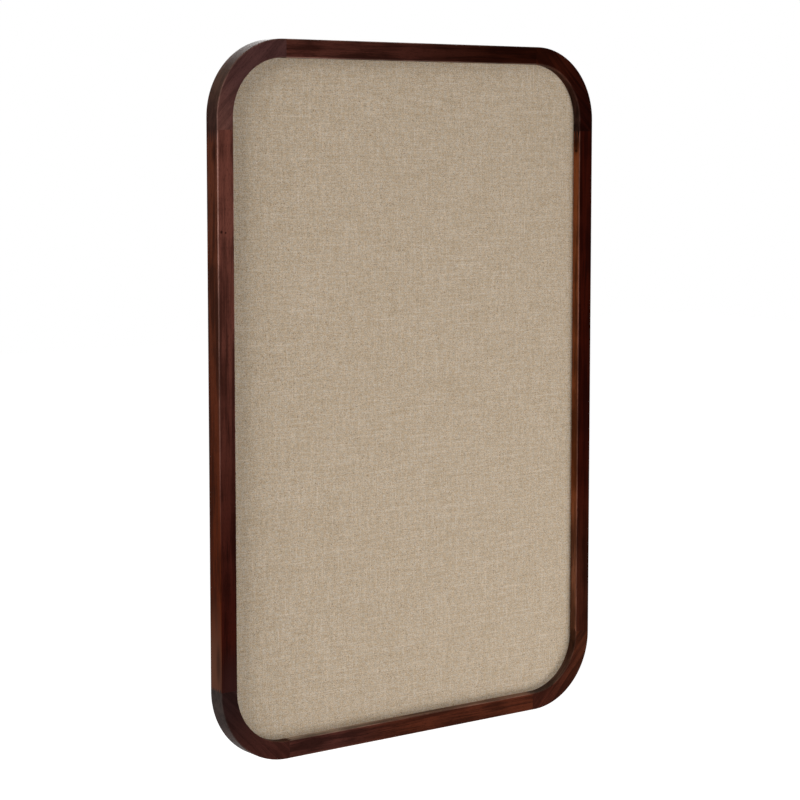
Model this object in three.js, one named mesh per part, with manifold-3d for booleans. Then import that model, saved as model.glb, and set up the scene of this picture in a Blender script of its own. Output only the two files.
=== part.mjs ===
// Wall bulletin board: a hardwood frame with round corners, a pin board covered in linen that sits back
// in it, a backing board held by bendable tabs, and two ring hangers behind. Millimetres, +Z up.
// X runs to the right as seen from the front, and +Y runs into the wall. The origin is the middle of the
// wall plane, which the rear faces of the four bumpers touch.

import * as THREE from 'three';
import { mergeVertices } from 'three/addons/utils/BufferGeometryUtils.js';
import Module from 'manifold-3d';

const wasm = await Module();
wasm.setup();

// Frame
const boardWidth = 610;
const boardHeight = 914;
const cornerRadius = 98;
const faceWidth = 23.5;
const recessDepth = 12.25;
const ledgeWidth = 6.5;
const arrisRadius = 1.25;

// Finger joints between the straight lengths and the corner blocks, past the ends of the arcs
const topJointPast = 15;
const bottomJointPast = 2;
const railJointPast = 4;
const longFingerLength = 16;
const shortFingerLength = 4;
const fingerTipFlat = 0.6;
const glueGap = 0.6;
const fingersAcross = 5;

// Panel: linen over a soft pin board, with a hardboard back
const panelPlay = 1;
const linenThickness = 0.5;
const linenTurn = 25;
const pinBoardThickness = 8;
const pinBoardPlay = 0.3;
const backingThickness = 3;

// Bendable tabs, shot into the rabbet wall
const tabWidth = 12;
const tabThickness = 0.5;
const tabGrip = 9;
const tabLap = 12;
const tabPointLength = 3;
const tabPointWidth = 6;
const tabSlotPlay = 0.3;
const tabSetback = 1.25;
const tabEndMargin = 80;
const tabsPerStile = 4;
const tabsPerRail = 3;

// Hangers: a screwed strap, rolled round the straight bar of a D-shaped ring
const hangerTabGap = 4;
const hangerInset = 11;
const strapWidth = 9;
const strapThickness = 1;
const strapLength = 33;
const knucklePlay = 0.25;
const knuckleWrap = THREE.MathUtils.degToRad(275);
const wireDiameter = 2;
const ringSidePlay = 1;
const ringHeight = 11;
const ringElbowRadius = 1.5;
const hangerWallGap = 0.5;

// Screws that hold the straps
const screwDiameter = 3;
const screwLength = 12;
const screwPointLength = 3;
const screwHeadDiameter = 5.6;
const screwHeadHeight = 2;
const screwRimHeight = 0.6;
const screwPlay = 0.3;
const screwRecessWidth = 0.9;
const screwRecessLength = 3.2;
const screwRecessDepth = 1.1;
const firstScrewDrop = 17;
const screwPitch = 10;

// Rubber bumpers
const bumperDiameter = 10;
const bumperFaceDiameter = 8;
const bumperChamfer = 1;

// Overrun of every cut past the faces that it opens, and the fineness of round shapes
const overrun = 5;
const arcSegments = 12;
const roundSegments = 24;
const wireSides = 8;
const wireSteps = 48;

// Depths from the frame's front face, worked out from what is stacked behind it
const rabbetWall = faceWidth - ledgeWidth;
const pinBoardFront = recessDepth + linenThickness;
const pinBoardBack = pinBoardFront + pinBoardThickness;
const backingFront = pinBoardBack + linenThickness;
const backingBack = backingFront + backingThickness;
const frameDepth = backingBack + tabThickness + tabSetback;
const knuckleRadius = wireDiameter / 2 + knucklePlay + strapThickness;
const bumperHeight = 2 * knuckleRadius + hangerWallGap;

// The hangers' hinges from the board's top edge, so that a raised ring stays below the uppermost tab
const hangerDrop = cornerRadius + tabEndMargin + tabWidth / 2 + hangerTabGap + ringHeight + wireDiameter / 2;

const halfWidth = boardWidth / 2;
const halfHeight = boardHeight / 2;
const stileArcEnd = halfHeight - cornerRadius;
const railArcEnd = halfWidth - cornerRadius;

// Solids and meshes

function solidOf(geometry) {
  geometry.deleteAttribute('normal');
  geometry.deleteAttribute('uv');
  const welded = mergeVertices(geometry);
  const vertProperties = new Float32Array(welded.getAttribute('position').array);
  const triVerts = new Uint32Array(welded.getIndex().array);
  return new wasm.Manifold(new wasm.Mesh({ numProp: 3, vertProperties, triVerts }));
}

function meshOf(name, solid, finish) {
  const { vertProperties, triVerts } = solid.getMesh();
  const geometry = new THREE.BufferGeometry();
  geometry.setAttribute('position', new THREE.BufferAttribute(vertProperties, 3));
  geometry.setIndex(new THREE.BufferAttribute(triVerts, 1));
  geometry.computeVertexNormals();
  const mesh = new THREE.Mesh(geometry, finish());
  mesh.name = name;
  return mesh;
}

function finishOf(color, roughness, metalness) {
  return () => new THREE.MeshStandardMaterial({ color, roughness, metalness, flatShading: true });
}

const stainedHardwood = finishOf('#5c2b18', 0.35, 0);
const naturalLinen = finishOf('#a9937c', 0.9, 0);
const softFibreboard = finishOf('#9c8465', 0.95, 0);
const hardboard = finishOf('#6b4a30', 0.7, 0);
const springSteel = finishOf('#8b8d90', 0.4, 1);
const zincPlate = finishOf('#b9bcc0', 0.3, 1);
const darkRubber = finishOf('#2b2b2c', 0.6, 0);

// Prisms along each axis

function alongY(outline, near, far) {
  const depth = far - near;
  const geometry = new THREE.ExtrudeGeometry(outline, { depth, bevelEnabled: false, curveSegments: arcSegments });
  return geometry.rotateX(Math.PI / 2).translate(0, far, 0);
}

function alongX(outline, low, high) {
  const depth = high - low;
  const geometry = new THREE.ExtrudeGeometry(outline, { depth, bevelEnabled: false, curveSegments: arcSegments });
  const turn = new THREE.Matrix4().makeBasis(
    new THREE.Vector3(0, 1, 0),
    new THREE.Vector3(0, 0, 1),
    new THREE.Vector3(1, 0, 0),
  );
  return geometry.applyMatrix4(turn).translate(low, 0, 0);
}

function alongZ(outline, low, high) {
  const depth = high - low;
  const geometry = new THREE.ExtrudeGeometry(outline, { depth, bevelEnabled: false });
  return geometry.translate(0, 0, low);
}

function boxBetween(low, high) {
  const box = new THREE.Box3(new THREE.Vector3(...low), new THREE.Vector3(...high));
  const size = box.getSize(new THREE.Vector3());
  const centre = box.getCenter(new THREE.Vector3());
  return new THREE.BoxGeometry(size.x, size.y, size.z).translate(centre.x, centre.y, centre.z);
}

function roundedOutline(width, height, radius) {
  const x = width / 2 - radius;
  const y = height / 2 - radius;
  const outline = new THREE.Shape();
  outline.absarc(x, y, radius, 0, Math.PI / 2);
  outline.absarc(-x, y, radius, Math.PI / 2, Math.PI);
  outline.absarc(-x, -y, radius, -Math.PI, -Math.PI / 2);
  outline.absarc(x, -y, radius, -Math.PI / 2, 0);
  outline.closePath();
  return outline;
}

// The board's own outline, drawn in by an inset on every side
function insetOutline(inset) {
  return roundedOutline(boardWidth - 2 * inset, boardHeight - 2 * inset, cornerRadius - inset);
}

// Frame: one ring with a rabbet behind, cut into eight lengths at the finger joints

function wholeRing() {
  const outline = insetOutline(0);
  outline.holes.push(insetOutline(faceWidth));
  const ring = new THREE.ExtrudeGeometry(outline, {
    depth: frameDepth - 2 * arrisRadius,
    bevelThickness: arrisRadius,
    bevelSize: arrisRadius,
    bevelOffset: -arrisRadius,
    bevelSegments: 2,
    curveSegments: arcSegments,
  });
  ring.rotateX(Math.PI / 2).translate(0, frameDepth - arrisRadius, 0);
  const rabbet = alongY(insetOutline(rabbetWall), recessDepth, frameDepth + overrun);
  return solidOf(ring).subtract(solidOf(rabbet));
}

// The zigzag of one joint, from front to back, as points of depth and place along the length
function fingerEdge(at, reach) {
  const halfPitch = frameDepth / fingersAcross / 2;
  const points = [new THREE.Vector2(-overrun, at)];
  for (let i = 0; i <= 2 * fingersAcross; i++) {
    const along = i % 2 ? at + reach : at;
    points.push(new THREE.Vector2(i * halfPitch - fingerTipFlat / 2, along));
    points.push(new THREE.Vector2(i * halfPitch + fingerTipFlat / 2, along));
  }
  points.push(new THREE.Vector2(frameDepth + overrun, at));
  return points;
}

function lengthOutline(low, high, gap) {
  const lowEdge = fingerEdge(low.at - gap, low.reach);
  const highEdge = fingerEdge(high.at + gap, high.reach);
  return [...lowEdge, ...highEdge.reverse()];
}

const stileEnds = {
  low: { at: bottomJointPast - stileArcEnd, reach: shortFingerLength },
  high: { at: stileArcEnd - topJointPast, reach: -longFingerLength },
};
const railEnds = {
  low: { at: railJointPast - railArcEnd, reach: shortFingerLength },
  high: { at: railArcEnd - railJointPast, reach: -shortFingerLength },
};

function sortedPair(a, b) {
  return [Math.min(a, b), Math.max(a, b)];
}

function stileRegion(side, gap) {
  const outline = new THREE.Shape(lengthOutline(stileEnds.low, stileEnds.high, gap));
  const across = sortedPair(side * (halfWidth + overrun), side * (halfWidth - faceWidth - overrun));
  return solidOf(alongX(outline, ...across));
}

function railRegion(side, gap) {
  const points = lengthOutline(railEnds.low, railEnds.high, gap);
  const outline = new THREE.Shape(points.map((point) => new THREE.Vector2(point.y, point.x)));
  const across = sortedPair(side * (halfHeight + overrun), side * (halfHeight - faceWidth - overrun));
  return solidOf(alongZ(outline, ...across));
}

function cornerBlock(ring, sideX, sideZ) {
  const [lowX, highX] = sortedPair(0, sideX * (halfWidth + overrun));
  const [lowZ, highZ] = sortedPair(0, sideZ * (halfHeight + overrun));
  const quarter = boxBetween([lowX, -overrun, lowZ], [highX, frameDepth + overrun, highZ]);
  return ring
    .intersect(solidOf(quarter))
    .subtract(stileRegion(sideX, glueGap))
    .subtract(railRegion(sideZ, glueGap));
}

// Tabs: each lies on the backing board, with its point in a slot of the rabbet wall

function spreadOver(halfSpan, count) {
  const step = (2 * halfSpan) / (count - 1);
  return Array.from({ length: count }, (_, i) => i * step - halfSpan);
}

function tabRow(member, count, halfSpan, turn, placeAt) {
  return spreadOver(halfSpan, count).map((along, i) => ({
    name: `tab_${member}_${i + 1}`,
    place: new THREE.Vector3(...placeAt(along)),
    turn,
  }));
}

const tabRows = {
  left: tabRow('left', tabsPerStile, stileArcEnd - tabEndMargin, 0, (along) => [
    rabbetWall - halfWidth,
    backingBack,
    along,
  ]),
  right: tabRow('right', tabsPerStile, stileArcEnd - tabEndMargin, Math.PI, (along) => [
    halfWidth - rabbetWall,
    backingBack,
    along,
  ]),
  top: tabRow('top', tabsPerRail, railArcEnd - tabEndMargin, Math.PI / 2, (along) => [
    along,
    backingBack,
    halfHeight - rabbetWall,
  ]),
  bottom: tabRow('bottom', tabsPerRail, railArcEnd - tabEndMargin, -Math.PI / 2, (along) => [
    along,
    backingBack,
    rabbetWall - halfHeight,
  ]),
};

function tabSolid() {
  const tip = panelPlay + tabLap;
  const outline = new THREE.Shape([
    new THREE.Vector2(-tabGrip, -tabPointWidth / 2),
    new THREE.Vector2(tabPointLength - tabGrip, -tabWidth / 2),
    new THREE.Vector2(tip - tabPointLength, -tabWidth / 2),
    new THREE.Vector2(tip, -tabPointWidth / 2),
    new THREE.Vector2(tip, tabPointWidth / 2),
    new THREE.Vector2(tip - tabPointLength, tabWidth / 2),
    new THREE.Vector2(tabPointLength - tabGrip, tabWidth / 2),
    new THREE.Vector2(-tabGrip, tabPointWidth / 2),
  ]);
  return solidOf(alongY(outline, 0, tabThickness));
}

function withTabSlots(solid, rows) {
  const reach = tabWidth / 2 + tabSlotPlay;
  return rows.reduce((cut, { place, turn }) => {
    const slot = boxBetween(
      [-tabGrip - tabSlotPlay, -tabSlotPlay, -reach],
      [overrun, tabThickness + tabSlotPlay, reach],
    );
    slot.rotateY(turn).translate(place.x, place.y, place.z);
    return cut.subtract(solidOf(slot));
  }, solid);
}

// Hangers: everything is placed from the knuckle's foot on the frame's back

const screwDrops = [firstScrewDrop, firstScrewDrop + screwPitch];

function hangerPlace(side) {
  return new THREE.Vector3(side * (halfWidth - hangerInset), frameDepth, halfHeight - hangerDrop);
}

function roundBar(diameter, near, far) {
  const bar = new THREE.CylinderGeometry(diameter / 2, diameter / 2, far - near, roundSegments);
  return bar.translate(0, (near + far) / 2, 0);
}

function withPilotHoles(solid, side) {
  const place = hangerPlace(side);
  return screwDrops.reduce((cut, drop) => {
    const hole = roundBar(screwDiameter + 2 * screwPlay, -screwLength - screwPlay, overrun);
    hole.translate(place.x, place.y, place.z - drop);
    return cut.subtract(solidOf(hole));
  }, solid);
}

function strapSolid() {
  const bore = knuckleRadius - strapThickness;
  const end = Math.PI - knuckleWrap;
  const side = new THREE.Shape();
  side.moveTo(0, -strapLength);
  side.lineTo(0, 0);
  side.absarc(knuckleRadius, 0, knuckleRadius, Math.PI, end, true);
  side.absarc(knuckleRadius, 0, bore, end, Math.PI, false);
  side.lineTo(strapThickness, -strapLength);
  side.closePath();

  const half = strapWidth / 2;
  const plan = new THREE.Shape();
  plan.moveTo(-half, 2 * knuckleRadius);
  plan.absarc(0, half - strapLength, half, Math.PI, 2 * Math.PI);
  plan.lineTo(half, 2 * knuckleRadius);
  plan.closePath();

  const rolled = solidOf(alongX(side, -half, half));
  const trimmed = rolled.intersect(solidOf(alongY(plan, -overrun, overrun + 2 * knuckleRadius)));
  return screwDrops.reduce((cut, drop) => {
    const hole = roundBar(screwDiameter + 2 * screwPlay, -overrun, strapThickness + overrun);
    return cut.subtract(solidOf(hole.translate(0, 0, -drop)));
  }, trimmed);
}

// The ring lies in its own XZ plane, with its bar on the X axis and its bow hanging below
function ringSolid() {
  const half = strapWidth / 2 + ringSidePlay + wireDiameter / 2;
  const elbow = ringElbowRadius;
  const loop = new THREE.Path();
  loop.absarc(half - elbow, -elbow, elbow, Math.PI / 2, 0, true);
  loop.absarc(0, half - ringHeight, half, 0, -Math.PI, true);
  loop.absarc(elbow - half, -elbow, elbow, Math.PI, Math.PI / 2, true);
  loop.closePath();
  const points = loop.getSpacedPoints(2 * wireSteps).slice(0, -1);
  const route = new THREE.CatmullRomCurve3(points.map((point) => new THREE.Vector3(point.x, 0, point.y)), true);
  return solidOf(new THREE.TubeGeometry(route, wireSteps, wireDiameter / 2, wireSides, true));
}

// A screw stands on its own Y axis, with the underside of its head at zero
function screwSolid() {
  const radius = screwDiameter / 2;
  const headRadius = screwHeadDiameter / 2;
  const dome = screwHeadHeight - screwRimHeight;
  const profile = [
    new THREE.Vector2(0, strapThickness - screwLength),
    new THREE.Vector2(radius, strapThickness - screwLength + screwPointLength),
    new THREE.Vector2(radius, 0),
    new THREE.Vector2(headRadius, 0),
    new THREE.Vector2(headRadius, screwRimHeight),
    new THREE.Vector2(headRadius * Math.cos(Math.PI / 6), screwRimHeight + dome * Math.sin(Math.PI / 6)),
    new THREE.Vector2(headRadius * Math.cos(Math.PI / 3), screwRimHeight + dome * Math.sin(Math.PI / 3)),
    new THREE.Vector2(0, screwHeadHeight),
  ];
  const turned = solidOf(new THREE.LatheGeometry(profile, roundSegments));
  const width = screwRecessWidth / 2;
  const length = screwRecessLength / 2;
  const floor = screwHeadHeight - screwRecessDepth;
  const top = screwHeadHeight + overrun;
  const slotX = solidOf(boxBetween([-length, floor, -width], [length, top, width]));
  const slotZ = solidOf(boxBetween([-width, floor, -length], [width, top, length]));
  return turned.subtract(slotX).subtract(slotZ);
}

function bumperSolid() {
  const profile = [
    new THREE.Vector2(0, 0),
    new THREE.Vector2(bumperDiameter / 2, 0),
    new THREE.Vector2(bumperDiameter / 2, bumperHeight - bumperChamfer),
    new THREE.Vector2(bumperFaceDiameter / 2, bumperHeight),
    new THREE.Vector2(0, bumperHeight),
  ];
  return solidOf(new THREE.LatheGeometry(profile, roundSegments));
}

// Panel

function linenSolid() {
  const outside = alongY(insetOutline(rabbetWall + panelPlay), recessDepth, backingFront);
  const pocketInset = rabbetWall + panelPlay + linenThickness;
  const pocket = alongY(insetOutline(pocketInset), pinBoardFront, pinBoardBack);
  const window = alongY(insetOutline(rabbetWall + panelPlay + linenTurn), pinBoardBack - overrun, backingFront + overrun);
  return solidOf(outside).subtract(solidOf(pocket)).subtract(solidOf(window));
}

function pinBoardSolid() {
  const inset = rabbetWall + panelPlay + linenThickness + pinBoardPlay;
  return solidOf(alongY(insetOutline(inset), pinBoardFront, pinBoardBack));
}

function backingSolid() {
  return solidOf(alongY(insetOutline(rabbetWall + panelPlay), backingFront, backingBack));
}

// Assembly: depths run from the frame's front face, and the whole board stands off the wall

const board = new THREE.Group();
board.position.y = -(frameDepth + bumperHeight);

const sides = { left: -1, right: 1 };
const levels = { top: 1, bottom: -1 };
const ring = wholeRing();

for (const [word, side] of Object.entries(sides)) {
  const stile = ring.intersect(stileRegion(side, 0));
  const slotted = withTabSlots(stile, tabRows[word]);
  board.add(meshOf(`${word}_stile`, withPilotHoles(slotted, side), stainedHardwood));
}

for (const [word, side] of Object.entries(levels)) {
  const rail = ring.intersect(railRegion(side, 0));
  board.add(meshOf(`${word}_rail`, withTabSlots(rail, tabRows[word]), stainedHardwood));
}

board.add(meshOf('linen_cover', linenSolid(), naturalLinen));
board.add(meshOf('pin_board', pinBoardSolid(), softFibreboard));
board.add(meshOf('backing_board', backingSolid(), hardboard));

for (const { name, place, turn } of Object.values(tabRows).flat()) {
  const tab = meshOf(name, tabSolid(), springSteel);
  tab.position.copy(place);
  tab.rotation.y = turn;
  board.add(tab);
}

for (const [levelWord, level] of Object.entries(levels)) {
  for (const [sideWord, side] of Object.entries(sides)) {
    const corner = cornerBlock(ring, side, level);
    board.add(meshOf(`corner_${levelWord}_${sideWord}`, corner, stainedHardwood));

    const bumper = meshOf(`bumper_${levelWord}_${sideWord}`, bumperSolid(), darkRubber);
    const along = (cornerRadius - rabbetWall / 2) * Math.SQRT1_2;
    bumper.position.set(side * (railArcEnd + along), frameDepth, level * (stileArcEnd + along));
    board.add(bumper);
  }
}

for (const [word, side] of Object.entries(sides)) {
  const hanger = new THREE.Group();
  hanger.position.copy(hangerPlace(side));
  hanger.add(meshOf(`hanger_strap_${word}`, strapSolid(), zincPlate));

  const hangerRing = meshOf(`hanger_ring_${word}`, ringSolid(), zincPlate);
  hangerRing.position.y = knuckleRadius;
  hanger.add(hangerRing);

  screwDrops.forEach((drop, i) => {
    const screw = meshOf(`hanger_screw_${word}_${i + 1}`, screwSolid(), zincPlate);
    screw.position.set(0, strapThickness, -drop);
    hanger.add(screw);
  });
  board.add(hanger);
}

export default board;
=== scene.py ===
"""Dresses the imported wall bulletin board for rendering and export.

The board is a finger-jointed hardwood frame with round corners, a pin board stretched with linen that
sits back in it, a hardboard back held by bendable steel tabs, two ring hangers and four rubber bumpers.
X runs to the right as seen from the front, Y into the wall and Z up. Sizes are in millimetres until a
mesh is finished, and every finished mesh is in metres.
"""

import logging
import math
from collections.abc import Iterable, Sequence
from dataclasses import dataclass, field
from enum import Enum

import bmesh
import bpy
from mathutils import Matrix, Vector

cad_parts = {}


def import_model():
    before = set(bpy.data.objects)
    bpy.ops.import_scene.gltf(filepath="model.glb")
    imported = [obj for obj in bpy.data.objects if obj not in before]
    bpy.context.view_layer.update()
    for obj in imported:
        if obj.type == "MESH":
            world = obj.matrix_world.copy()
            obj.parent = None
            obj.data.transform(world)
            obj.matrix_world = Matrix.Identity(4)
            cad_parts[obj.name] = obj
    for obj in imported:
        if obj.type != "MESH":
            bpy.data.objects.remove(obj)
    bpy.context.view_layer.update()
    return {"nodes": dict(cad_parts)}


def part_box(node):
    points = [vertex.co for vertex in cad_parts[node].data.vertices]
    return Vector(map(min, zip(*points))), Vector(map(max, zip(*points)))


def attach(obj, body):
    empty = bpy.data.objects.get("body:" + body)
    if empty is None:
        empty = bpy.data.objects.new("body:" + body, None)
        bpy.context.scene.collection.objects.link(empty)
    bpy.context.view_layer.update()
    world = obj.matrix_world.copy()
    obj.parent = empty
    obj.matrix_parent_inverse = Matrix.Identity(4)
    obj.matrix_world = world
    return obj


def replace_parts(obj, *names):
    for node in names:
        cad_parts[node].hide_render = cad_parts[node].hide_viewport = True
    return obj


LOG = logging.getLogger("bulletin_board")
MM = 0.001
FULL_TURN = 2 * math.pi
QUARTER_TURN = math.pi / 2
ORIGIN = Vector((0, 0, 0))
X_AXIS = Vector((1, 0, 0))
Y_AXIS = Vector((0, 1, 0))
Z_AXIS = Vector((0, 0, 1))
# Points closer than this, in millimetres, are one point.
SAME = 0.001

Tree = bpy.types.NodeTree
Socket = bpy.types.NodeSocket
Mesh = bmesh.types.BMesh
Face = bmesh.types.BMFace
Piece = bpy.types.Object
Inputs = dict[str | int, object] | Sequence[object]
Point = tuple[float, float, float]
Span = tuple[float, float]


class Side(Enum):
    """The left or right of the board, as the sign of X."""

    LEFT = -1
    RIGHT = 1


class Level(Enum):
    """The top or bottom of the board, as the sign of Z."""

    TOP = 1
    BOTTOM = -1


class Trait(Enum):
    """What the timber reads of a face: its turn from the front, its share of end grain, and whether it is a
    round arris, which takes wear and a painted highlight.
    """

    EDGE = "edge_face"
    END = "end_grain"
    ARRIS = "arris_face"


class Rounded(Enum):
    """What a bevel rounds: the corners of a flat face or the edges of a solid."""

    CORNERS = "VERTICES"
    EDGES = "EDGES"


def linear(code: str) -> tuple[float, float, float, float]:
    """Turns an sRGB hex colour into linear RGBA.

    Args:
        code: A colour such as "#a0b0c0".

    Returns:
        The colour in linear light, with an alpha of 1.
    """
    parts = [int(code[i : i + 2], 16) / 255 for i in (1, 3, 5)]
    light = [c / 12.92 if c <= 0.04045 else ((c + 0.055) / 1.055) ** 2.4 for c in parts]
    return (light[0], light[1], light[2], 1.0)


# Nodes

SMOOTH = {"interpolation_type": "SMOOTHSTEP"}
COLOUR = {"data_type": "RGBA"}
WHOLE: Span = (0, 1)
# Nearly all of a noise's values lie in this span.
NOISE: Span = (0.3, 0.7)
# A value, the span of it over which a tone comes in, how much shows at the span's two ends, and the tone.
Layer = tuple[Socket, Span, Span, str]


def fill_inputs(node: bpy.types.Node, inputs: Inputs) -> None:
    """Sets or links a node's inputs.

    Args:
        node: The node.
        inputs: Values or output sockets, in order or by input name or number.
    """
    for key, value in inputs.items() if isinstance(inputs, dict) else enumerate(inputs):
        if isinstance(value, Socket):
            node.id_data.links.new(value, node.inputs[key])
        else:
            node.inputs[key].default_value = value


def add_node(tree: Tree, kind: str, inputs: Inputs = (), out: int | str = 0, **settings: object) -> Socket:
    """Adds a node to a tree, sets its properties and fills its inputs.

    Args:
        tree: The node tree that takes the node.
        kind: The shader node's type, such as "Mix".
        inputs: Values or output sockets, in order or by input name or number.
        out: The name or number of the output that is wanted.
        settings: Properties of the node itself.

    Returns:
        That output of the new node.
    """
    node = tree.nodes.new(f"ShaderNode{kind}")
    for name, value in settings.items():
        setattr(node, name, value)
    fill_inputs(node, inputs)
    return node.outputs[out]


def placed(
    tree: Tree, size: Point, place: Point = (0, 0, 0), turn: float = 0, read_at: Socket | None = None
) -> Socket:
    """Makes coordinates whose unit is a real size, centred on a place on the piece.

    Args:
        tree: The material's node tree.
        size: The unit along the coordinates' own X, Y and Z, in millimetres.
        place: Their centre, in millimetres.
        turn: Their turn about Y, in radians.
        read_at: What is turned and centred, or None for the piece's own coordinates.

    Returns:
        The coordinates.
    """
    inputs: Inputs = {
        "Vector": read_at or add_node(tree, "TexCoord", out="Object"),
        "Location": [MM * v for v in place],
        "Rotation": (0, turn, 0),
        "Scale": [MM * v for v in size],
    }
    return add_node(tree, "Mapping", inputs, vector_type="TEXTURE")


def pattern(
    tree: Tree,
    size: Point,
    place: Point = (0, 0, 0),
    turn: float = 0,
    read_at: Socket | None = None,
    **noise: float,
) -> Socket:
    """Makes noise whose features have a real size.

    Args:
        tree: The material's node tree.
        size: The features' size in millimetres along the pattern's own X, Y and Z.
        place: The pattern's centre on the piece, in millimetres.
        turn: The pattern's turn about Y, in radians.
        read_at: Where the pattern is read, or None for the piece's own coordinates.
        noise: Inputs of the noise, such as Detail.

    Returns:
        The noise's value, about 0.5 on average.
    """
    where = placed(tree, size, place, turn, read_at)
    return add_node(tree, "TexNoise", {"Vector": where, "Scale": 1.0, **noise})


def weigh(tree: Tree, *parts: tuple[Socket, float]) -> Socket:
    """Adds values up, each times its weight.

    Args:
        tree: The material's node tree.
        parts: Each value with its weight.

    Returns:
        The sum.
    """
    total: object = 0.0
    for value, weight in parts:
        total = add_node(tree, "Math", [value, weight, total], operation="MULTIPLY_ADD")
    return total


def layered(tree: Tree, under: object, *layers: Layer) -> Socket:
    """Lays tones over a colour in order.

    Args:
        tree: The material's node tree.
        under: The lowest colour, as RGBA or a socket.
        layers: The tones and where they show.

    Returns:
        The colour that shows.
    """
    for value, span, shares, tone in layers:
        share = add_node(tree, "MapRange", [value, *span, *shares], **SMOOTH)
        under = add_node(tree, "Mix", {0: share, 6: under, 7: linear(tone)}, 2, **COLOUR)
    return under


def shaded(tree: Tree, colour: Socket, value: Socket, span: Span, shades: Span) -> Socket:
    """Makes a colour darker or lighter with a value.

    Args:
        tree: The material's node tree.
        colour: The colour.
        value: The value to read.
        span: The range of the value over which the shade changes.
        shades: What the colour is multiplied by at the range's two ends.

    Returns:
        The shaded colour.
    """
    shade = add_node(tree, "MapRange", [value, *span, *shades], **SMOOTH)
    return add_node(tree, "Mix", {0: 1.0, 6: colour, 7: shade}, 2, blend_type="MULTIPLY", **COLOUR)


# Finishes


@dataclass(frozen=True)
class Finish:
    """A surface finish that makes one procedural material."""

    name: str

    def material(self) -> bpy.types.Material:
        """Makes the finish's material, or finds it if it has been made.

        Returns:
            The material.
        """
        found = bpy.data.materials.get(self.name)
        if found is not None:
            return found
        made = bpy.data.materials.new(self.name)
        made.use_nodes = True
        fill_inputs(made.node_tree.nodes["Principled BSDF"], self.surface(made.node_tree))
        return made

    def surface(self, tree: Tree) -> Inputs:
        """Makes what the shader shows.

        Args:
            tree: The material's node tree.

        Returns:
            The shader's inputs by name.
        """
        raise NotImplementedError


@dataclass(frozen=True)
class Mark:
    """A knot, streak or patch in the timber: its centre and half size in millimetres, and its tone."""

    centre: Point
    size: Point
    strength: float = 0.7
    tone: str = "#0e0301"


@dataclass(frozen=True)
class DyeAndHighlight:
    """How the dye took along one length of timber, with a painted highlight: its tones at the grain's two
    ends.

    Faces are sanded finer and show the first pair, sawn edges the second. The tones drift from one end's to
    the other's within the reach on each side of the centre, in millimetres; the drift is partly the dye's
    own and partly a painted highlight on the end that catches a lamp's reflection. The arrises' pale tone
    drifts the same way, and it is partly wear and partly a painted highlight.
    The contrast is how far the streaks go above and below the tones.
    """

    face: tuple[str, str]
    edge: tuple[str, str]
    centre: Point = (0, 0, 0)
    reach: float = 300
    # Shares of the arrises' pale tone at the grain's two ends: partly wear, partly a painted highlight.
    wear_and_highlight: Span = (0.15, 0.15)
    contrast: float = 0.45


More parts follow.
